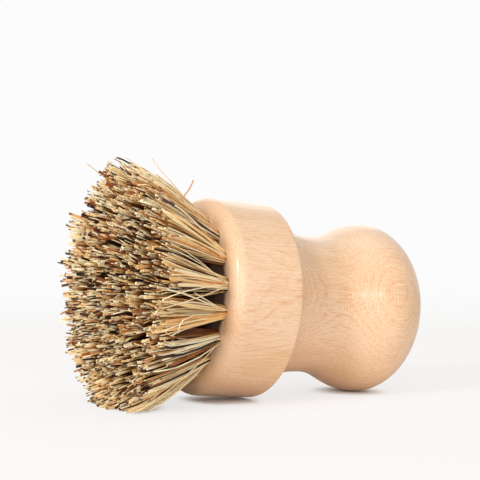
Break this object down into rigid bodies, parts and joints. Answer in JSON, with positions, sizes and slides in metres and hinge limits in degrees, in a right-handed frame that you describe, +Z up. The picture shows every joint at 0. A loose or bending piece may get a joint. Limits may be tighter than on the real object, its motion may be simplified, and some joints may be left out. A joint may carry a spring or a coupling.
{
  "type": "dish brush",
  "caption": "Palm-held pot brush: turned beech head and knob in one piece, with stapled tufts of stiff plant fibre that fan out from slanted holes.",
  "frame": {"origin": "bottom centre of the bounding box, on the surface that the lying brush rests on", "axes": "+Z up; +X along the brush towards its knob, whose axis dips about 5 degrees; -Y towards the viewer of the picture"},
  "size_m": [0.108, 0.075, 0.0717],
  "materials": {
    "beech": "satin",
    "union_fibre": "matte",
    "staple_steel": "satin"
  },
  "bodies": {
    "root": {"beech_block": "beech", "tuft_staples": "staple_steel", "tuft_centre": "union_fibre", "tuft_inner_01": "union_fibre", "tuft_inner_02": "union_fibre", "tuft_inner_03": "union_fibre", "tuft_inner_04": "union_fibre", "tuft_inner_05": "union_fibre", "tuft_inner_06": "union_fibre", "tuft_middle_01": "union_fibre", "tuft_middle_02": "union_fibre", "tuft_middle_03": "union_fibre", "tuft_middle_04": "union_fibre", "tuft_middle_05": "union_fibre", "tuft_middle_06": "union_fibre", "tuft_middle_07": "union_fibre", "tuft_middle_08": "union_fibre", "tuft_middle_09": "union_fibre", "tuft_middle_10": "union_fibre", "tuft_middle_11": "union_fibre", "tuft_middle_12": "union_fibre", "tuft_outer_01": "union_fibre", "tuft_outer_02": "union_fibre", "tuft_outer_03": "union_fibre", "tuft_outer_04": "union_fibre", "tuft_outer_05": "union_fibre", "tuft_outer_06": "union_fibre", "tuft_outer_07": "union_fibre", "tuft_outer_08": "union_fibre", "tuft_outer_09": "union_fibre", "tuft_outer_10": "union_fibre", "tuft_outer_11": "union_fibre", "tuft_outer_12": "union_fibre", "tuft_outer_13": "union_fibre", "tuft_outer_14": "union_fibre", "tuft_outer_15": "union_fibre", "tuft_outer_16": "union_fibre", "tuft_outer_17": "union_fibre", "tuft_outer_18": "union_fibre"}
  },
  "joints": []
}
